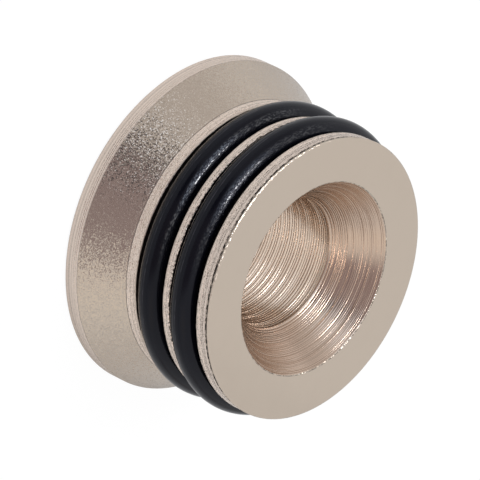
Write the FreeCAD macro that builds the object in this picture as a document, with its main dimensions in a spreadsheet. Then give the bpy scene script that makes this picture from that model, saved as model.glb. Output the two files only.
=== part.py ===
"""Manifold adapter: a turned ring with a coned flange and a spigot that carries two O-rings.

+Z runs along the bore, from the flange's flat back face at Z = 0 to the nose of the spigot.
"""
import FreeCAD, Part
import os

import Sketcher
from FreeCAD import Placement, Rotation, Vector

doc = FreeCAD.newDocument("manifold_adapter")


# Driving dimensions, in millimetres

DIMENSIONS = {
    # lengths along the axis, from the back face to the nose
    "back_edge_break": 0.2,
    "rim_width": 1.35,
    "seat_cone_length": 3.6,
    "rear_collar_width": 1.1,
    "ring_groove_width": 3.2,
    "land_width": 0.75,
    "nose_collar_width": 1.4,
    "nose_chamfer_length": 0.2,
    # outside diameters
    "flange_diameter": 29.5,
    "spigot_diameter": 25.0,
    "nose_face_diameter": 24.3,
    # the passage through the adapter
    "bore_diameter": 11.6,
    "mouth_diameter": 17.2,
    "entry_cone_depth": 3.95,
    "bore_edge_break": 0.3,
    # O-rings as fitted, and the gaps that they keep in their grooves
    "ring_section": 2.4,
    "ring_inner_diameter": 21.7,
    "ring_floor_gap": 0.05,
    "ring_set_back": 0.1,
    "groove_cut_overrun": 2.0,
}

sheet = doc.addObject("Spreadsheet::Sheet", "sizes")
for row, (alias, value) in enumerate(DIMENSIONS.items(), start=1):
    sheet.set("A%d" % row, alias)
    sheet.set("B%d" % row, str(value))
    sheet.setAlias("B%d" % row, alias)
doc.recompute()


# Heights and radii worked out from the driving dimensions, as expressions on the sheet

def size(alias):
    return "sizes.%s" % alias


def total(*terms):
    return "(" + " + ".join(terms) + ")"


def less(whole, part):
    return "(%s - %s)" % (whole, part)


def radius(alias):
    return "(%s / 2)" % size(alias)


RIM_TOP = total(size("back_edge_break"), size("rim_width"))
CONE_TOP = total(RIM_TOP, size("seat_cone_length"))
REAR_GROOVE_START = total(CONE_TOP, size("rear_collar_width"))
GROOVE_PITCH = total(size("ring_groove_width"), size("land_width"))
FRONT_GROOVE_START = total(REAR_GROOVE_START, GROOVE_PITCH)
NOSE_FACE = total(FRONT_GROOVE_START, size("ring_groove_width"), size("nose_collar_width"))
GROOVE_FLOOR = less(radius("ring_inner_diameter"), size("ring_floor_gap"))
RING_SECTION_RADIUS = radius("ring_section")
RING_CENTRE_RADIUS = total(radius("ring_inner_diameter"), RING_SECTION_RADIUS)


def ring_height(groove_start):
    """Height of an O-ring's centre: the middle of its groove, less the small set-back."""
    return less(total(groove_start, "%s / 2" % size("ring_groove_width")), size("ring_set_back"))


# Sketch helpers

def origin_plane(body, role):
    for feature in body.Origin.OriginFeatures:
        if feature.Role == role:
            return feature
    raise ValueError("no origin plane called " + role)


def half_section_sketch(body, name):
    """An empty sketch on the XZ plane: across is the radius, up is the height."""
    sketch = body.newObject("Sketcher::SketchObject", name)
    sketch.AttachmentSupport = (origin_plane(body, "XZ_Plane"), [""])
    sketch.MapMode = "FlatFace"
    return sketch


def bind_point(sketch, geometry, point, across, up):
    """Hold one sketch point at a radius and a height that follow the sheet."""
    for kind, expression in (("DistanceX", across), ("DistanceY", up)):
        value = sheet.evalExpression(expression)
        constraint = Sketcher.Constraint(kind, -1, 1, geometry, point, float(value))
        index = sketch.addConstraint(constraint)
        sketch.setExpression("Constraints[%d]" % index, expression)


def closed_outline(sketch, corners):
    """Straight lines through the corners, each corner bound to the sheet."""
    places = [Vector(float(sheet.evalExpression(across)), float(sheet.evalExpression(up)), 0)
              for across, up in corners]
    count = len(corners)
    for index, place in enumerate(places):
        sketch.addGeometry(Part.LineSegment(place, places[(index + 1) % count]), False)
    for index in range(count):
        sketch.addConstraint(Sketcher.Constraint("Coincident", index, 2, (index + 1) % count, 1))
    for index, (across, up) in enumerate(corners):
        bind_point(sketch, index, 1, across, up)


def turn(body, kind, name, sketch):
    """Revolve a half section about the bore axis, adding or cutting."""
    feature = body.newObject(kind, name)
    feature.Profile = sketch
    feature.ReferenceAxis = (sketch, ["V_Axis"])
    feature.Angle = 360
    sketch.Visibility = False
    return feature


# The turned body

def make_adapter_body():
    """One bar-turned piece: flange, cone, spigot, coned mouth and bore, then the two grooves."""
    body = doc.addObject("PartDesign::Body", "adapter_body")
    body.Label = "adapter_body"

    blank = half_section_sketch(body, "blank_outline")
    closed_outline(blank, [
        (radius("bore_diameter"), size("bore_edge_break")),
        (total(radius("bore_diameter"), size("bore_edge_break")), "0"),
        (less(radius("flange_diameter"), size("back_edge_break")), "0"),
        (radius("flange_diameter"), size("back_edge_break")),
        (radius("flange_diameter"), RIM_TOP),
        (radius("spigot_diameter"), CONE_TOP),
        (radius("spigot_diameter"), less(NOSE_FACE, size("nose_chamfer_length"))),
        (radius("nose_face_diameter"), NOSE_FACE),
        (radius("mouth_diameter"), NOSE_FACE),
        (radius("bore_diameter"), less(NOSE_FACE, size("entry_cone_depth"))),
    ])
    turn(body, "PartDesign::Revolution", "turned_blank", blank)
    doc.recompute()

    cut = half_section_sketch(body, "ring_groove_outline")
    outside = total(radius("spigot_diameter"), size("groove_cut_overrun"))
    groove_end = total(REAR_GROOVE_START, size("ring_groove_width"))
    closed_outline(cut, [
        (GROOVE_FLOOR, REAR_GROOVE_START),
        (outside, REAR_GROOVE_START),
        (outside, groove_end),
        (GROOVE_FLOOR, groove_end),
    ])
    rear_groove = turn(body, "PartDesign::Groove", "rear_ring_groove", cut)
    doc.recompute()

    both_grooves = body.newObject("PartDesign::LinearPattern", "both_ring_grooves")
    both_grooves.Originals = [rear_groove]
    both_grooves.Direction = (cut, ["V_Axis"])
    both_grooves.Mode = "Spacing"
    both_grooves.Occurrences = 2
    both_grooves.setExpression("Offset", GROOVE_PITCH)
    body.Tip = both_grooves
    return body


# The O-rings

def make_ring(name, groove_start):
    """A round-section ring that lies on the groove's floor and stands proud of the spigot."""
    ring = doc.addObject("Part::Torus", name)
    ring.Label = name
    ring.setExpression("Radius1", RING_CENTRE_RADIUS)
    ring.setExpression("Radius2", RING_SECTION_RADIUS)
    ring.Placement = Placement(Vector(0, 0, 0), Rotation())
    ring.setExpression("Placement.Base.z", ring_height(groove_start))
    return ring


pieces = [
    make_adapter_body(),
    make_ring("rear_o_ring", REAR_GROOVE_START),
    make_ring("front_o_ring", FRONT_GROOVE_START),
]
doc.recompute()


# Checks, then one file for each piece

for item in doc.Objects:
    if "Invalid" in item.State or "Error" in item.State:
        raise RuntimeError("%s didn't build: %s" % (item.Name, item.State))

for piece in pieces:
    if piece.Shape.isNull() or not piece.Shape.isValid():
        raise RuntimeError("%s has no valid shape" % piece.Label)

os.makedirs("parts", exist_ok=True)
for piece in pieces:
    piece.Shape.exportStep("parts/%s.step" % piece.Label)
    print("%s: %.2f mm3, %.2f mm high" % (piece.Label, piece.Shape.Volume, piece.Shape.BoundBox.ZLength))
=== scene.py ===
"""A manifold adapter in satin nickel plate, with two black O-rings, standing on its flange.

+Z runs along the bore to the nose. The bare CAD solids are replaced by finely turned meshes.
"""

import math
import random

import bpy
from mathutils import Matrix, Vector


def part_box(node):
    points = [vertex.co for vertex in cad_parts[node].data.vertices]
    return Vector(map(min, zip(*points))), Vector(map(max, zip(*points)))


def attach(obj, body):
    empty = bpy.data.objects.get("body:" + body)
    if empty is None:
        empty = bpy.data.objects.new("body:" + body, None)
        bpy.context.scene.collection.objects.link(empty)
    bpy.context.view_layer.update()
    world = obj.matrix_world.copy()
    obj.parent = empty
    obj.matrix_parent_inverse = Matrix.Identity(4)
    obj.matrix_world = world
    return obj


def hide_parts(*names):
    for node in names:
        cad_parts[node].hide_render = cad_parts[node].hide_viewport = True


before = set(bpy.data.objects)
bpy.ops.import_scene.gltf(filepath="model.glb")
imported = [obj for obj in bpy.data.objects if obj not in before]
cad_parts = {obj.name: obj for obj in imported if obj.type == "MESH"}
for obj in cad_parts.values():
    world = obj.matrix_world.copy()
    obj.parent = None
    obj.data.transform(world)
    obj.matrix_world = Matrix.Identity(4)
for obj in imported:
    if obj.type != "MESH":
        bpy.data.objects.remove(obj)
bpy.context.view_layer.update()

MM = 0.001


# Sizes read from the frame, and the turner's sizes that the frame's boxes can't give

body_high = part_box("adapter_body")[1]
rear_low, rear_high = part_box("rear_o_ring")
front_low, front_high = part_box("front_o_ring")

LENGTH = body_high[2]
FLANGE_R = 14.75 * MM
SPIGOT_R = 12.5 * MM
MOUTH_R = 8.6 * MM
BORE_R = 5.8 * MM
GROOVE_FLOOR_R = 10.8 * MM
BACK_BREAK = 0.2 * MM
BORE_BREAK = 0.3 * MM
RIM_TOP = 1.55 * MM
CONE_TOP = 5.15 * MM
REAR_GROOVE = (6.25 * MM, 9.45 * MM)
FRONT_GROOVE = (10.2 * MM, 13.4 * MM)
ENTRY_CONE_BOTTOM = LENGTH - 3.95 * MM

RING_SECTION_R = (rear_high[2] - rear_low[2]) / 2
RING_CENTRE_R = 12.05 * MM

# How finely the pieces are turned, and what counts as one point
TURNED_STEPS = 180
RING_STEPS = 256
RING_SECTION_STEPS = 48
WELD = 0.0005 * MM
SMOOTH_BELOW = math.radians(33)


# Modelling helpers

def nothing_selected():
    if bpy.context.object and bpy.context.object.mode != "OBJECT":
        bpy.ops.object.mode_set(mode="OBJECT")
    bpy.ops.object.select_all(action="DESELECT")


def start_outline(name, first):
    """A new object whose mesh is one point of a half section, in edit mode."""
    nothing_selected()
    bpy.ops.mesh.primitive_plane_add(size=MM, location=(0, 0, 0))
    piece = bpy.context.object
    piece.name = name
    bpy.ops.object.mode_set(mode="EDIT")
    bpy.ops.mesh.merge(type="CENTER")
    bpy.ops.transform.translate(value=(first[0], 0, first[1]))
    return piece


def draw_outline(corners):
    """Extrudes the selected point from corner to corner of the half section."""
    here = corners[0]
    for there in corners[1:]:
        step = (there[0] - here[0], 0, there[1] - here[1])
        bpy.ops.mesh.extrude_region_move(TRANSFORM_OT_translate={"value": step})
        here = there


def turn_outline(piece, steps):
    """Turns the half section round the bore axis, welds the seam and turns the faces outwards."""
    bpy.ops.object.mode_set(mode="OBJECT")
    lathe = piece.modifiers.new("lathe", "SCREW")
    lathe.axis = "Z"
    lathe.steps = steps
    lathe.render_steps = steps
    lathe.use_merge_vertices = True
    lathe.merge_threshold = WELD
    bpy.ops.object.modifier_apply(modifier="lathe")
    bpy.ops.object.mode_set(mode="EDIT")
    bpy.ops.mesh.select_all(action="SELECT")
    bpy.ops.mesh.remove_doubles(threshold=WELD)
    bpy.ops.mesh.normals_make_consistent(inside=False)
    bpy.ops.object.mode_set(mode="OBJECT")
    bpy.ops.object.shade_smooth_by_angle(angle=SMOOTH_BELOW)


def round_corners(piece, spots, width, segments):
    """Rounds the corners of the outline that lie at the given radii and heights."""
    bpy.ops.mesh.select_all(action="DESELECT")
    bpy.ops.object.mode_set(mode="OBJECT")
    for vertex in piece.data.vertices:
        vertex.select = any(
            math.hypot(vertex.co.x - r, vertex.co.z - z) < 2 * WELD for r, z in spots)
    bpy.ops.object.mode_set(mode="EDIT")
    bpy.ops.mesh.select_mode(type="VERT")
    bpy.ops.mesh.bevel(offset=width, segments=segments, affect="VERTICES")


# How many times a corner's kept length the marks stay away from it
CLEAR_OF_CORNER = 1.4
# The first mark's place, as a share of the pitch
FIRST_MARK = 0.2
# The marks stay away from a score by this share of its width
CLEAR_OF_SCORE = 0.7


def cut_run(start, end, keep, marks, scores, chance):
    """The points between two corners of the outline.

    One point near each end, at the lengths in keep, keeps the corner's roundness off the run.
    Between those, the tool's marks are cut into the metal: marks gives their pitch, how much it
    wanders, the range of their depth, and the shape of one mark as shares of the pitch with their
    depths. Each score is a fine cut: its distance from the start, its width and its depth. The
    points beside a score keep its roundness off the run too.
    """
    dr, dz = end[0] - start[0], end[1] - start[1]
    length = math.hypot(dr, dz)
    into = (-dz / length, dr / length)
    points = [(keep[0], 0.0)]
    for place, width, cut in scores:
        points += [(place - width, 0.0), (place - width / 2, 0.0), (place, cut),
                   (place + width / 2, 0.0), (place + width, 0.0)]
    scored = [(place - width * CLEAR_OF_SCORE, place + width * CLEAR_OF_SCORE)
              for place, width, _ in scores]
    pitch, wander, depths, shape = marks or (length, 0.0, (1.0, 1.0), ())
    place = keep[0] * CLEAR_OF_CORNER + pitch * FIRST_MARK
    while True:
        step = pitch * chance.uniform(1 - wander, 1 + wander)
        deep = chance.uniform(*depths)
        if place + step > length - keep[1] * CLEAR_OF_CORNER:
            break
        if all(place + step < low or place > high for low, high in scored):
            points += [(place + step * share, cut * deep) for share, cut in shape]
        place += step
    points.append((length - keep[1], 0.0))
    points.sort()
    return [(start[0] + dr * place / length + into[0] * cut,
             start[1] + dz * place / length + into[1] * cut) for place, cut in points]


# The adapter's body

SHARP_EDGE = 0.012 * MM
FINE_EDGE = 0.03 * MM
SOFT_EDGE = 0.09 * MM
# How many segments round each kind of edge, in the order of rounding
EDGE_SEGMENTS = ((SHARP_EDGE, 2), (FINE_EDGE, 3), (SOFT_EDGE, 4))
# The length kept smooth beside a corner, as a multiple of its roundness
KEPT_SMOOTH = 1.5
# A run shorter than this many kept lengths gets no points of its own
SHORTEST_CUT = 4

# Tool marks: pitch, wander of the pitch, range of the depth, shape of one mark
BAND_MARKS = (0.13 * MM, 0.25, (0.3, 1.0), ((0.0, 0.0), (0.7, 0.022 * MM)))
BACK_MARKS = (0.40 * MM, 0.10, (0.5, 1.0), ((0.0, 0.0), (0.5, 0.010 * MM)))
ENTRY_MARKS = (0.18 * MM, 0.30, (0.3, 1.0), (
    (0.0, 0.0), (0.42, 0.001 * MM), (0.62, 0.016 * MM), (0.78, 0.0)))
BORE_MARKS = (0.26 * MM, 0.14, (0.85, 1.05), (
    (0.0, 0.0), (0.40, 0.016 * MM), (0.72, 0.040 * MM), (0.885, 0.0275 * MM), (0.975, 0.0)))

# Scores: distance from the run's start, width, depth
RIM_SCORES = (
    (0.42 * MM, 0.09 * MM, 0.012 * MM),
    (0.72 * MM, 0.09 * MM, 0.020 * MM),
    (0.92 * MM, 0.11 * MM, 0.030 * MM),
    (1.10 * MM, 0.11 * MM, 0.028 * MM),
    (1.26 * MM, 0.10 * MM, 0.024 * MM),
)
CONE_SCORES = (
    (3.86 * MM, 0.10 * MM, 0.010 * MM),
    (4.00 * MM, 0.09 * MM, 0.008 * MM),
    (4.12 * MM, 0.09 * MM, 0.010 * MM),
)

# The nose edge's corners, from the scored line to the turned-over bright burr: how far out from
# the spigot, how far below the nose face
NOSE_EDGE = (
    (0.0, 0.37 * MM),
    (-0.045 * MM, 0.30 * MM),
    (-0.010 * MM, 0.18 * MM),
    (0.04 * MM, 0.08 * MM),
    (-0.085 * MM, 0.0),
)
# The mouth's broken edge: how far out from the mouth, how far below the nose face
MOUTH_EDGE = ((0.042 * MM, 0.0), (-0.035 * MM, 0.05 * MM))


def make_body():
    """The body. Each corner has its roundness, and the run after it its tool marks and scores."""
    nose_edge = [((SPIGOT_R + out, LENGTH - down), FINE_EDGE, (), ()) for out, down in NOSE_EDGE]
    mouth_edge = [(MOUTH_R + out, LENGTH - down) for out, down in MOUTH_EDGE]
    runs = [
        ((BORE_R, BORE_BREAK), FINE_EDGE, (), ()),
        ((BORE_R + BORE_BREAK, 0), FINE_EDGE, BACK_MARKS, ()),
        ((FLANGE_R - BACK_BREAK, 0), FINE_EDGE, (), ()),
        ((FLANGE_R, BACK_BREAK), FINE_EDGE, BAND_MARKS, RIM_SCORES),
        ((FLANGE_R, RIM_TOP), SHARP_EDGE, (), CONE_SCORES),
        ((SPIGOT_R, CONE_TOP), SHARP_EDGE, BAND_MARKS, ()),
        ((SPIGOT_R, REAR_GROOVE[0]), SOFT_EDGE, (), ()),
        ((GROOVE_FLOOR_R, REAR_GROOVE[0]), FINE_EDGE, (), ()),
        ((GROOVE_FLOOR_R, REAR_GROOVE[1]), FINE_EDGE, (), ()),
        ((SPIGOT_R, REAR_GROOVE[1]), FINE_EDGE, BAND_MARKS, ()),
        ((SPIGOT_R, FRONT_GROOVE[0]), SOFT_EDGE, (), ()),
        ((GROOVE_FLOOR_R, FRONT_GROOVE[0]), FINE_EDGE, (), ()),
        ((GROOVE_FLOOR_R, FRONT_GROOVE[1]), FINE_EDGE, (), ()),
        ((SPIGOT_R, FRONT_GROOVE[1]), FINE_EDGE, BAND_MARKS, ()),
        *nose_edge,
        (mouth_edge[0], FINE_EDGE, (), ()),
        (mouth_edge[1], FINE_EDGE, ENTRY_MARKS, ()),
        ((BORE_R, ENTRY_CONE_BOTTOM), SHARP_EDGE, BORE_MARKS, ()),
    ]
    chance = random.Random(7)
    corners = []
    for (start, edge, marks, scores), (end, next_edge, _, _) in zip(runs, runs[1:] + runs[:1]):
        corners.append(start)
        keep = (edge * KEPT_SMOOTH, next_edge * KEPT_SMOOTH)
        if math.dist(start, end) > SHORTEST_CUT * max(keep):
            corners += cut_run(start, end, keep, marks, scores, chance)
    piece = start_outline("turned_body", corners[0])
    draw_outline(corners + corners[:1])
    bpy.ops.mesh.select_all(action="SELECT")
    bpy.ops.mesh.remove_doubles(threshold=WELD)
    for width, segments in EDGE_SEGMENTS:
        round_corners(piece, [run[0] for run in runs if run[1] == width], width, segments)
    turn_outline(piece, TURNED_STEPS)
    return piece


def make_ring(name, low, high, seat):
    """An O-ring in its groove, seat being how far along the bore it has settled."""
    nothing_selected()
    bpy.ops.mesh.primitive_torus_add(
        location=(0, 0, (low[2] + high[2]) / 2 + seat),
        major_radius=RING_CENTRE_R, minor_radius=RING_SECTION_R,
        major_segments=RING_STEPS, minor_segments=RING_SECTION_STEPS)
    piece = bpy.context.object
    piece.name = name
    bpy.ops.object.transform_apply(location=True, rotation=True, scale=True)
    bpy.ops.object.shade_smooth()
    return piece


# Shader maths

class Link:
    """A socket's output, with arithmetic that adds Math nodes."""

    def __init__(self, paint, socket):
        self.paint = paint
        self.socket = socket

    def _math(self, operation, *values):
        return self.paint.node("ShaderNodeMath", {"operation": operation}, dict(enumerate(values)))

    def __add__(self, other):
        return self._math("ADD", self, other)

    def __radd__(self, other):
        return self._math("ADD", other, self)

    def __sub__(self, other):
        return self._math("SUBTRACT", self, other)

    def __rsub__(self, other):
        return self._math("SUBTRACT", other, self)

    def __mul__(self, other):
        return self._math("MULTIPLY", self, other)

    def __rmul__(self, other):
        return self._math("MULTIPLY", other, self)

    def __pow__(self, other):
        return self._math("POWER", self, other)


class Paint:
    """The node tree of one material or world."""

    def __init__(self, owner):
        owner.use_nodes = True
        self.tree = owner.node_tree
        self.tree.nodes.clear()

    def node(self, kind, settings=None, inputs=None, output=0):
        """Adds a node with its settings and the values or links of its sockets."""
        node = self.tree.nodes.new(kind)
        for key, value in (settings or {}).items():
            setattr(node, key, value)
        for key, value in (inputs or {}).items():
            if isinstance(value, Link):
                self.tree.links.new(value.socket, node.inputs[key])
            else:
                node.inputs[key].default_value = value
        return Link(self, node.outputs[output]) if node.outputs else None

    def split(self, vector):
        """The X, Y and Z of a vector."""
        x = self.node("ShaderNodeSeparateXYZ", inputs={"Vector": vector})
        return [x] + [Link(self, x.socket.node.outputs[name]) for name in ("Y", "Z")]

    def step(self, value, low, high, start=0.0, end=1.0):
        """A smooth step from start to end while value goes from low to high."""
        return self.node("ShaderNodeMapRange", {"interpolation_type": "SMOOTHSTEP"}, {
            "Value": value, "From Min": low, "From Max": high, "To Min": start, "To Max": end})

    def noise(self, vector, size, detail=2.0, roughness=0.5):
        """Noise about 0, whose blobs are about size across."""
        return self.node("ShaderNodeTexNoise", inputs={
            "Vector": vector, "Scale": 1 / size, "Detail": detail, "Roughness": roughness}) - 0.5

    def mix(self, factor, one, other):
        """A colour that goes from one to the other as the factor goes from 0 to 1."""
        return self.node("ShaderNodeMix", {"data_type": "RGBA"}, {
            "Factor": factor, 6: one, 7: other}, output=2)


def grey(level):
    return (level, level, level, 1.0)


# Patterns, whose sizes and depths are in metres

def round_marks(paint, here, pitch):
    """Marks that run round the axis: noise that changes with radius and height alone."""
    x, y, z = paint.split(here)
    radius = (x * x + y * y) ** 0.5
    place = paint.node("ShaderNodeCombineXYZ", inputs={"X": radius, "Y": z, "Z": 0.0})
    return paint.noise(place, pitch)


def streaks(paint, here, length, width, detail=2.0):
    """Short marks round the axis, about length long and width wide."""
    x, y, z = paint.split(here)
    radius = (x * x + y * y) ** 0.5
    place = paint.node("ShaderNodeCombineXYZ", inputs={
        "X": x * (1 / length), "Y": y * (1 / length), "Z": z * (1 / width)})
    return paint.node("ShaderNodeTexNoise", {"noise_dimensions": "4D"}, {
        "Vector": place, "W": radius * (1 / width), "Scale": 1.0, "Detail": detail}) - 0.5


def grains(paint, here, size, tilt):
    """The normal of a surface of fine flat grains, each tilted its own way."""
    own_way = paint.node("ShaderNodeTexVoronoi", inputs={
        "Vector": here, "Scale": 1 / size}, output=1)
    lean = paint.node("ShaderNodeVectorMath", {"operation": "SUBTRACT"}, {
        0: own_way, 1: (0.5, 0.5, 0.5)})
    lean = paint.node("ShaderNodeVectorMath", {"operation": "SCALE"}, {0: lean, "Scale": tilt})
    level = paint.node("ShaderNodeNewGeometry", output="Normal")
    tilted = paint.node("ShaderNodeVectorMath", {"operation": "ADD"}, {0: level, 1: lean})
    return paint.node("ShaderNodeVectorMath", {"operation": "NORMALIZE"}, {0: tilted})


def bumps(paint, height, normal=None):
    """The normal over the given height, on top of another normal if there is one."""
    inputs = {"Strength": 1.0, "Distance": 1.0, "Height": height}
    if normal:
        inputs["Normal"] = normal
    return paint.node("ShaderNodeBump", inputs=inputs)


# The body's finishes

PLATE = (0.585, 0.50, 0.42, 1.0)
# A lighter copy of the plate for the turned bands, rim and chattered edge: painted light that
# brightens their reflections
BAND_PLATE_PAINTED_BRIGHT = (0.95, 0.81, 0.70, 1.0)
ENTRY_PLATE = (0.595, 0.466, 0.375, 1.0)
# A lighter copy of the plate for the bore wall: painted light that stands in for light reaching the
# bore
BORE_PLATE_PAINTED_BRIGHT = (0.825, 0.68, 0.56, 1.0)
# Painted shade: a darker copy of the bore's plate for its marks' flanks and for the bore's top
BORE_PAINTED_SHADE = (0.53, 0.43, 0.35, 1.0)
# Painted shade: a dark plate for the grooves' walls and floors and for two corners of the flange
# cone
GROOVE_PAINTED_SHADE = (0.22, 0.19, 0.165, 1.0)

# Across the nose collar: where it starts, and where its half by the nose edge starts. The half by
# the ring is painted lighter as a reflection, and the half by the edge darker as shade
COLLAR_START = (13.30 * MM, 13.40 * MM)
COLLAR_MIDDLE = (13.80 * MM, 13.96 * MM)


def metal(name, colour, roughness, normal_of, anisotropy=0.0, darkening_mask=None, darkest_share=0.55):
    """Satin nickel plate.

    normal_of gives the normal of its fine marks. darkening_mask gives how dark each spot is, from
    stain marks and, on some finishes, painted shade, and a fully dark spot keeps darkest_share of
    the plate's colour.
    """
    material = bpy.data.materials.new(name)
    paint = Paint(material)
    here = paint.node("ShaderNodeTexCoord", output="Object")
    if darkening_mask:
        dark = tuple(value * darkest_share for value in colour[:3]) + (1.0,)
        colour = paint.mix(darkening_mask(paint, here), colour, dark)
    shader = paint.node("ShaderNodeBsdfPrincipled", inputs={
        "Base Color": colour, "Metallic": 1.0, "Roughness": roughness,
        "Normal": normal_of(paint, here),
        "Anisotropic": anisotropy, "Anisotropic Rotation": 0.25})
    paint.node("ShaderNodeOutputMaterial", inputs={"Surface": shader})
    return material


def face_marks(paint, here):
    return bumps(paint, paint.noise(here, 0.12 * MM) * (0.010 * MM))


def face_stains_and_painted_shade(paint, here):
    """A slow darkening to one side, which is painted shade, with faint clouds and fine mottling."""
    x = paint.split(here)[0]
    # Painted shade: the face darkens towards +X
    painted_shade_to_one_side = paint.step(x, 6.0 * MM, 12.0 * MM, 0.0, 0.12)
    return painted_shade_to_one_side + paint.noise(here, 1.6 * MM) * 0.10 + paint.noise(here, 0.15 * MM) * 0.05


def cone_marks(paint, here):
    return grains(paint, here, 0.08 * MM, 0.32)


def band_marks(paint, here):
    height = (round_marks(paint, here, 0.06 * MM) * (0.014 * MM)
              + streaks(paint, here, 0.6 * MM, 0.10 * MM) * (0.06 * MM))
    return bumps(paint, height, grains(paint, here, 0.075 * MM, 0.50))


def band_stains_and_painted_light(paint, here):
    """Dark rings and short lines, fewer on the nose collar's half by the ring, which is painted
    lighter as a reflection; the half by the nose edge is painted darker as shade.
    """
    rings = paint.step(round_marks(paint, here, 0.07 * MM), 0.02, 0.14, 0.0, 0.34)
    lines = paint.step(streaks(paint, here, 1.6 * MM, 0.06 * MM), 0.03, 0.20, 0.0, 0.40)
    z = paint.split(here)[2]
    # Painted light and shade: fewer dark marks on the half by the ring, a darkening on the half by
    # the nose edge
    painted_shade_by_the_edge = paint.step(z, *COLLAR_MIDDLE)
    painted_light_by_the_ring = paint.step(z, *COLLAR_START) - painted_shade_by_the_edge
    return (rings + lines) * (1.0 - painted_light_by_the_ring * 0.75) + painted_shade_by_the_edge * 0.18


def rim_marks(paint, here):
    return bumps(paint, round_marks(paint, here, 0.06 * MM) * (0.020 * MM),
                 grains(paint, here, 0.075 * MM, 0.30))


def rim_stains(paint, here):
    return paint.step(round_marks(paint, here, 0.09 * MM), 0.02, 0.10, 0.0, 0.6)


def entry_marks(paint, here):
    return bumps(paint, round_marks(paint, here, 0.05 * MM) * (0.008 * MM)
                 + streaks(paint, here, 2.0 * MM, 0.08 * MM) * (0.012 * MM))


def entry_stains(paint, here):
    return paint.step(round_marks(paint, here, 0.07 * MM), 0.02, 0.14, 0.0, 0.30)


def bore_marks(paint, here):
    return bumps(paint, streaks(paint, here, 2.0 * MM, 0.08 * MM) * (0.005 * MM))


def burr_marks(paint, here):
    """A torn edge, which glints in separate spots."""
    return bumps(paint, streaks(paint, here, 0.3 * MM, 0.2 * MM) * (0.06 * MM),
                 grains(paint, here, 0.14 * MM, 0.7))


def bright_edge_marks(paint, here):
    """A smoother burr, which glints in longer pieces."""
    return bumps(paint, streaks(paint, here, 0.7 * MM, 0.2 * MM) * (0.05 * MM),
                 grains(paint, here, 0.12 * MM, 0.40))


def broken_dark_line(paint, here):
    """A dark line with small gaps."""
    return paint.step(streaks(paint, here, 0.30 * MM, 0.14 * MM), -0.08, 0.05, 0.10, 1.0)


def chatter(paint, here):
    """Dark nicks with bright edge between them."""
    return paint.step(streaks(paint, here, 0.20 * MM, 0.10 * MM), -0.04, 0.10)


# Where the finishes meet
MOUTH_LINE_R = (MOUTH_R + 0.02 * MM, MOUTH_R + 0.075 * MM)
MOUTH_LINE_BOTTOM = LENGTH - 0.02 * MM
NOSE_FACE_BOTTOM = LENGTH - 0.004 * MM
MOUTH_EDGE_R = MOUTH_R - 0.03 * MM
MOUTH_EDGE_BOTTOM = LENGTH - 0.05 * MM
NOSE_SIDE_R = SPIGOT_R * 0.9
BURR_BOTTOM = LENGTH - 0.15 * MM
SCORED_LINE_BOTTOM = LENGTH - 0.36 * MM
SPIGOT_SKIN_R = SPIGOT_R - 0.08 * MM
CHATTER_WIDTH = 0.12 * MM
GROOVE_EDGE_WIDTH = 0.08 * MM
GROOVE_SIDE_R = SPIGOT_R - 0.10 * MM
BORE_SKIN_R = BORE_R + 0.06 * MM
BORE_LINED_FROM = ENTRY_CONE_BOTTOM - 0.45 * MM
RIM_FINISH_TOP = RIM_TOP + 0.16 * MM
# The flange cone's two corners, painted dark as shade that takes their glints away: radius and
# height, width
CONE_CORNERS = (((FLANGE_R, RIM_TOP), 0.012 * MM), ((SPIGOT_R, CONE_TOP), 0.03 * MM))
# A bored mark's flanks painted darker as shade: their normals rise by less than the first, or
# between the others
STEEP_FLANK = -0.197
FAR_FLANK = (0.2, 0.5)


def finish_at(r, z, rise):
    """The name of the finish at a radius and height, rise being the Z of the surface's normal."""
    on_spigot = r > SPIGOT_SKIN_R
    if MOUTH_LINE_R[0] < r < MOUTH_LINE_R[1] and z > MOUTH_LINE_BOTTOM:
        return "mouth_line"
    if z > NOSE_FACE_BOTTOM:
        return "nose_face_plate"
    if MOUTH_EDGE_R < r < NOSE_SIDE_R and z > MOUTH_EDGE_BOTTOM:
        return "mouth_edge"
    if r > NOSE_SIDE_R and z > BURR_BOTTOM:
        return "burred_edge"
    # Below the nose edge the scored line is painted nearly black: painted shade in the crease, with
    # some residue
    if on_spigot and z > SCORED_LINE_BOTTOM:
        return "scored_line_painted_shade"
    if on_spigot and abs(z - FRONT_GROOVE[0]) < CHATTER_WIDTH:
        return "chattered_edge"
    if on_spigot and any(abs(z - edge) < GROOVE_EDGE_WIDTH for edge in REAR_GROOVE + FRONT_GROOVE):
        return "burred_edge"
    # Two corners of the flange cone, painted dark as shade
    if any(math.dist((r, z), corner) < width for corner, width in CONE_CORNERS):
        return "groove_painted_shade"
    # In the bore, flanks picked by their normals are painted darker as shade; the top below the
    # entry cone gets the same darker colour
    if r < BORE_SKIN_R:
        flank = rise < STEEP_FLANK or FAR_FLANK[0] < rise < FAR_FLANK[1]
        return "bored_painted_shade" if flank or z > BORE_LINED_FROM else "bored_wall"
    if r < MOUTH_R and z > ENTRY_CONE_BOTTOM:
        return "entry_cone"
    if z < RIM_FINISH_TOP and r > SPIGOT_R:
        return "turned_rim"
    if RIM_TOP < z < CONE_TOP:
        return "cone_plate"
    # The grooves' walls and floors, painted dark as shade
    if z > CONE_TOP and r < GROOVE_SIDE_R:
        return "groove_painted_shade"
    return "turned_bands"


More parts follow.
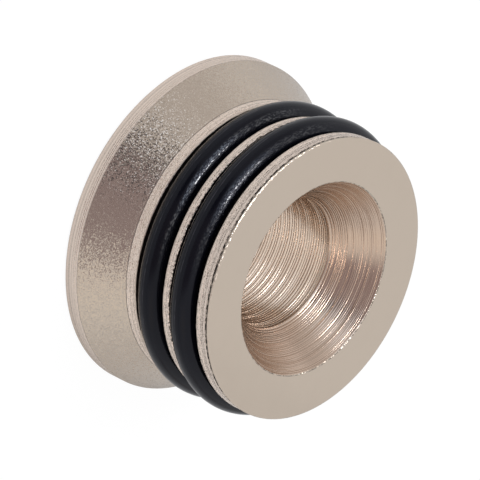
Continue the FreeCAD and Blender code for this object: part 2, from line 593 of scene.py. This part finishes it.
def finish_body(piece):
    """Makes the body's finishes and gives each face its own."""
    finishes = (
        metal("nose_face_plate", PLATE, 0.32, face_marks, darkening_mask=face_stains_and_painted_shade),
        metal("cone_plate", PLATE, 0.22, cone_marks),
        metal("turned_bands", BAND_PLATE_PAINTED_BRIGHT, 0.26, band_marks, anisotropy=0.4, darkening_mask=band_stains_and_painted_light),
        metal("entry_cone", ENTRY_PLATE, 0.22, entry_marks, darkening_mask=entry_stains),
        metal("bored_wall", BORE_PLATE_PAINTED_BRIGHT, 0.22, bore_marks),
        metal("burred_edge", PLATE, 0.28, bright_edge_marks),
        metal("scored_line_painted_shade", PLATE, 0.3, burr_marks, darkening_mask=broken_dark_line, darkest_share=0.06),
        metal("chattered_edge", BAND_PLATE_PAINTED_BRIGHT, 0.2, burr_marks, darkening_mask=chatter, darkest_share=0.15),
        metal("turned_rim", BAND_PLATE_PAINTED_BRIGHT, 0.24, rim_marks, anisotropy=0.4, darkening_mask=rim_stains),
        metal("bored_painted_shade", BORE_PAINTED_SHADE, 0.25, bore_marks),
        metal("groove_painted_shade", GROOVE_PAINTED_SHADE, 0.4, bore_marks),
        metal("mouth_line", PLATE, 0.3, burr_marks, darkening_mask=broken_dark_line, darkest_share=0.35),
        metal("mouth_edge", PLATE, 0.25, burr_marks, darkening_mask=chatter, darkest_share=0.40),
    )
    index_of = {}
    for index, finish in enumerate(finishes):
        piece.data.materials.append(finish)
        index_of[finish.name] = index
    for polygon in piece.data.polygons:
        r = math.hypot(polygon.center.x, polygon.center.y)
        polygon.material_index = index_of[finish_at(r, polygon.center.z, polygon.normal.z)]


# The rings' rubber

RUBBER = (0.003, 0.0032, 0.0055, 1.0)
# Painted highlight: the moulding line's lighter grey
RUBBER_LINE_PAINTED_HIGHLIGHT = (0.035, 0.034, 0.040, 1.0)
# The greased shoulder's height over the ring's middle, from bare to greased
GREASED_HEIGHT = (0.66 * MM, 0.92 * MM)
# The greased side's direction, and how far out along it the grease starts and is full
GREASED_SIDE = (-0.47, -0.88)
GREASED_REACH = (8.0 * MM, 11.6 * MM)
# The grain's depth, and how much deeper it is on the greased shoulder
RUBBER_GRAIN = 0.007 * MM
GREASE_GRAIN = 0.026 * MM


def rubber(name, middle, grease):
    """Black rubber with a moulding line round the outside, painted lighter grey as a highlight,
    middle being the ring's mid height.

    Specks of grease, as strong as grease says, lie on the shoulder by the nose, on one side.
    """
    material = bpy.data.materials.new(name)
    paint = Paint(material)
    here = paint.node("ShaderNodeTexCoord", output="Object")
    x, y, z = paint.split(here)
    greased_side = paint.step(x * GREASED_SIDE[0] + y * GREASED_SIDE[1], *GREASED_REACH)
    greased_height = paint.step(z, middle + GREASED_HEIGHT[0], middle + GREASED_HEIGHT[1])
    shoulder = greased_height * greased_side
    # The moulding line round the outside, painted lighter grey as a highlight
    from_line = paint.node("ShaderNodeMath", {"operation": "ABSOLUTE"}, {0: z - middle})
    line = (paint.step(from_line, 0.02 * MM, 0.07 * MM, 1.0, 0.0)
            * paint.step(streaks(paint, here, 0.9 * MM, 0.3 * MM), -0.10, 0.10, 0.2, 1.0))
    height = (streaks(paint, here, 0.16 * MM, 0.09 * MM, 1.5)
              * (shoulder * GREASE_GRAIN + RUBBER_GRAIN))
    wet = paint.step(streaks(paint, here, 0.22 * MM, 0.12 * MM), 0.03, 0.06) * shoulder * grease
    shader = paint.node("ShaderNodeBsdfPrincipled", inputs={
        "Base Color": paint.mix(line, RUBBER, RUBBER_LINE_PAINTED_HIGHLIGHT), "Roughness": 0.16,
        "Specular IOR Level": 0.22, "Specular Tint": (0.84, 0.86, 1.0, 1.0),
        "Coat Weight": wet, "Coat Roughness": 0.12, "Coat IOR": 1.8,
        "Coat Tint": (0.90, 0.93, 1.0, 1.0), "Normal": bumps(paint, height)})
    paint.node("ShaderNodeOutputMaterial", inputs={"Surface": shader})
    return material


# Floor, lights and camera

FLOOR_SIZE = 4.0
FLOOR_GREY = 0.6
FLOOR_GLOW = 1.04
# How much of the floor's glow the camera sees, and how much of it metal mirrors
GLOW_SEEN = 0.92
GLOW_MIRRORED = 0.12


def make_floor():
    """A white floor that keeps the part's shadow."""
    nothing_selected()
    bpy.ops.mesh.primitive_plane_add(size=FLOOR_SIZE, location=(0, 0, 0))
    floor = bpy.context.object
    floor.name = "floor"
    material = bpy.data.materials.new("floor_white")
    paint = Paint(material)
    seen = paint.node("ShaderNodeLightPath", output="Is Camera Ray")
    mirrored = Link(paint, seen.socket.node.outputs["Is Glossy Ray"])
    through_glass = Link(paint, seen.socket.node.outputs["Is Transmission Ray"])
    matte = paint.node("ShaderNodeBsdfDiffuse", inputs={"Color": grey(FLOOR_GREY)})
    glow = paint.node("ShaderNodeEmission", inputs={"Color": grey(1.0), "Strength": FLOOR_GLOW})
    share = seen * GLOW_SEEN + mirrored * GLOW_MIRRORED + through_glass * GLOW_SEEN
    both = paint.node("ShaderNodeMixShader", inputs={0: share, 1: matte, 2: glow})
    paint.node("ShaderNodeOutputMaterial", inputs={"Surface": both})
    floor.data.materials.append(material)


TENT_LEVEL = 0.86
# Each panel's name, azimuth from and to, elevation from and to, and softness, in degrees, and its
# colour times the tent
PANELS = (
    ("camera_gap", (-26, 48), (-6, 50), 9, (0.43, 0.36, 0.38)),
    ("low_left_gap", (-38, -9), (-6, 28), 3.5, (0.06, 0.055, 0.07)),
    ("low_left_shade", (-98, -34), (0, 27), 7, (0.73, 0.71, 0.70)),
    ("low_right_shade", (106, 150), (-10, 9), 6, (0.70, 0.66, 0.64)),
    ("right_strip", (60, 86), (14, 42), 8, (1.20, 1.14, 1.06)),
)
# The round softbox: azimuth, elevation, radius and softness in degrees, colour times the tent
SOFTBOX = (-48, 55, 22, 3, (1.50, 1.68, 1.95))


def direction(azimuth, elevation):
    """A unit vector, azimuth 0 being the camera's side."""
    a, e = math.radians(azimuth), math.radians(elevation)
    return Vector((math.sin(a) * math.cos(e), -math.cos(a) * math.cos(e), math.sin(e)))


def tent_colour(tint):
    return tuple(TENT_LEVEL * value for value in tint) + (1.0,)


def make_world():
    """A white tent with dim gaps by the camera, shades, a strip and a softbox at its upper left."""
    world = bpy.data.worlds.new("studio_tent")
    bpy.context.scene.world = world
    paint = Paint(world)
    toward = paint.node("ShaderNodeTexCoord", output="Generated")
    x, y, z = paint.split(toward)
    degrees = 180 / math.pi
    azimuth = paint.node("ShaderNodeMath", {"operation": "ARCTAN2"}, {0: x, 1: y * -1.0}) * degrees
    elevation = paint.node("ShaderNodeMath", {"operation": "ARCSINE"}, {0: z}) * degrees
    colour = paint.node("ShaderNodeRGB")
    colour.socket.default_value = grey(TENT_LEVEL)
    for _, (left, right), (low, high), blur, tint in PANELS:
        across = (paint.step(azimuth, left - blur, left + blur)
                  * paint.step(azimuth, right - blur, right + blur, 1.0, 0.0))
        along = (paint.step(elevation, low - blur, low + blur)
                 * paint.step(elevation, high - blur, high + blur, 1.0, 0.0))
        colour = paint.mix(across * along, colour, tent_colour(tint))
    box_azimuth, box_elevation, radius, blur, tint = SOFTBOX
    cosine = paint.node("ShaderNodeVectorMath", {"operation": "DOT_PRODUCT"}, {
        0: toward, 1: direction(box_azimuth, box_elevation)}, output=1)
    off_centre = paint.node("ShaderNodeMath", {"operation": "ARCCOSINE"}, {0: cosine}) * degrees
    inside = paint.step(off_centre, radius - blur, radius + blur, 1.0, 0.0)
    colour = paint.mix(inside, colour, tent_colour(tint))
    shade = paint.node("ShaderNodeBackground", inputs={"Color": colour, "Strength": 1.0})
    paint.node("ShaderNodeOutputWorld", inputs={"Surface": shade})


def make_lamp(name, shape, size, place, away, long_side, level):
    """An area lamp whose face has the given brightness. It shines against the direction away."""
    light = bpy.data.lights.new(name, "AREA")
    light.shape = shape
    light.size = size[0]
    if shape == "RECTANGLE":
        light.size_y = size[1]
    area = size[0] * size[1] * (math.pi / 4 if shape == "DISK" else 1.0)
    light.energy = level * math.pi * area
    lamp = bpy.data.objects.new(name, light)
    across = away.cross(long_side).normalized()
    along = across.cross(away).normalized()
    turned = Matrix((along, across, away.normalized())).transposed().to_4x4()
    lamp.matrix_world = Matrix.Translation(place) @ turned
    bpy.context.scene.collection.objects.link(lamp)


def make_lamps():
    """A softbox overhead, and the light that comes in through the bore's open back."""
    overhead = direction(-68, 69)
    make_lamp("overhead_softbox", "RECTANGLE", size=(0.17, 0.08), place=overhead * 0.4,
              away=overhead, long_side=Vector((-0.85, 0.47, -0.24)), level=14.0)
    make_lamp("light_from_the_open_back", "DISK", size=(0.0106, 0.0106),
              place=Vector((0, 0, 0.3 * MM)), away=Vector((0, 0, -1)),
              long_side=Vector((1, 0, 0)), level=0.38)


VIEW_ELEVATION = math.radians(38.38)
VIEW_ROLL = math.radians(115.77)
VIEW_DISTANCE = 592.4 * MM
SENSOR = 36.0
PICTURE_WIDTH = 480
PIXELS_PER_MM = 11.9955
NOSE_CENTRE_IN_PICTURE = (314.5, 279.2)


def make_camera():
    """Looks down at the nose, rolled so that the bore axis points to the picture's lower right."""
    forward = Vector((0, math.cos(VIEW_ELEVATION), -math.sin(VIEW_ELEVATION)))
    level_right = Vector((1, 0, 0))
    level_up = level_right.cross(forward)
    right = level_right * math.cos(VIEW_ROLL) + level_up * math.sin(VIEW_ROLL)
    up = right.cross(forward)
    camera = bpy.data.cameras.new("camera")
    camera.sensor_width = SENSOR
    focal_pixels = PIXELS_PER_MM / MM * VIEW_DISTANCE
    camera.lens = focal_pixels * SENSOR / PICTURE_WIDTH
    camera.clip_start = 0.05
    camera.clip_end = 20.0
    across = (NOSE_CENTRE_IN_PICTURE[0] - PICTURE_WIDTH / 2) / focal_pixels * VIEW_DISTANCE
    down = (NOSE_CENTRE_IN_PICTURE[1] - PICTURE_WIDTH / 2) / focal_pixels * VIEW_DISTANCE
    nose = Vector((0, 0, LENGTH))
    place = nose - forward * VIEW_DISTANCE - right * across + up * down
    holder = bpy.data.objects.new("camera", camera)
    holder.matrix_world = Matrix((
        (right.x, up.x, -forward.x, place.x),
        (right.y, up.y, -forward.y, place.y),
        (right.z, up.z, -forward.z, place.z),
        (0, 0, 0, 1)))
    bpy.context.scene.collection.objects.link(holder)
    bpy.context.scene.camera = holder


# Assembly

body = make_body()
finish_body(body)
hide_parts("adapter_body")
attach(body, "root")

# Each ring's name, CAD node, box, how far it has settled towards the nose, and its grease
for name, node, low, high, seat, grease in (
        ("rear_ring", "rear_o_ring", rear_low, rear_high, 0.07 * MM, 1.0),
        ("front_ring", "front_o_ring", front_low, front_high, -0.08 * MM, 0.55)):
    ring = make_ring(name, low, high, seat)
    ring.data.materials.append(rubber(name + "_rubber", (low[2] + high[2]) / 2 + seat, grease))
    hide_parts(node)
    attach(ring, "root")

make_floor()
make_world()
make_lamps()
make_camera()
bpy.context.scene.view_settings.view_transform = "Standard"
